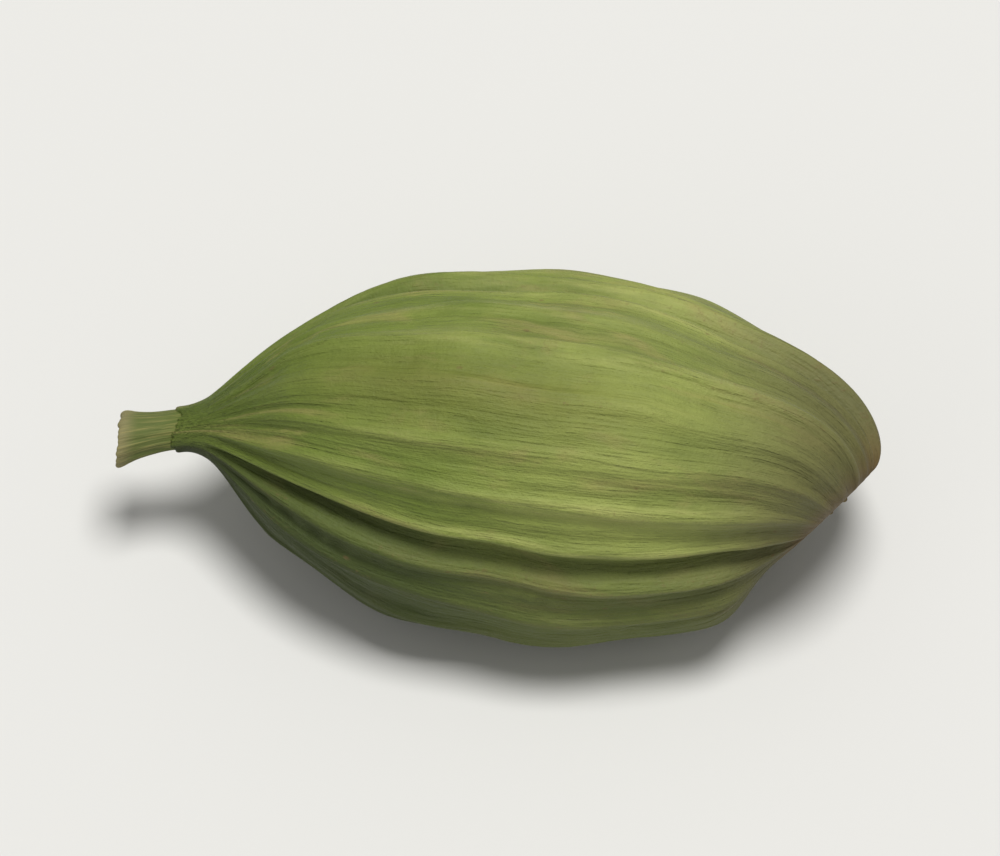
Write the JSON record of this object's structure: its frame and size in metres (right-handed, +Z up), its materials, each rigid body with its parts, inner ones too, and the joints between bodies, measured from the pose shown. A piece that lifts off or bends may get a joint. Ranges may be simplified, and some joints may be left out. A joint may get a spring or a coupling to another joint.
{
  "type": "green cardamom pod",
  "caption": "Whole dried green cardamom pod: a plump, lobed seed capsule with fine lengthwise ribs, a short cut stalk stub and a withered tip, lying on its side.",
  "frame": {"origin": "on the surface that the pod rests on, under the middle of its box", "axes": "+X along the pod from the cut stalk to the withered tip, +Z up through the back of the top lobe, -Y to the front"},
  "size_m": [0.016, 0.0082, 0.0077],
  "materials": {
    "husk": "dry, matt, papery plant husk, yellow-green with paler rib crests and tan ends"
  },
  "bodies": {
    "root": {"cardamom_pod": "husk"}
  },
  "joints": []
}
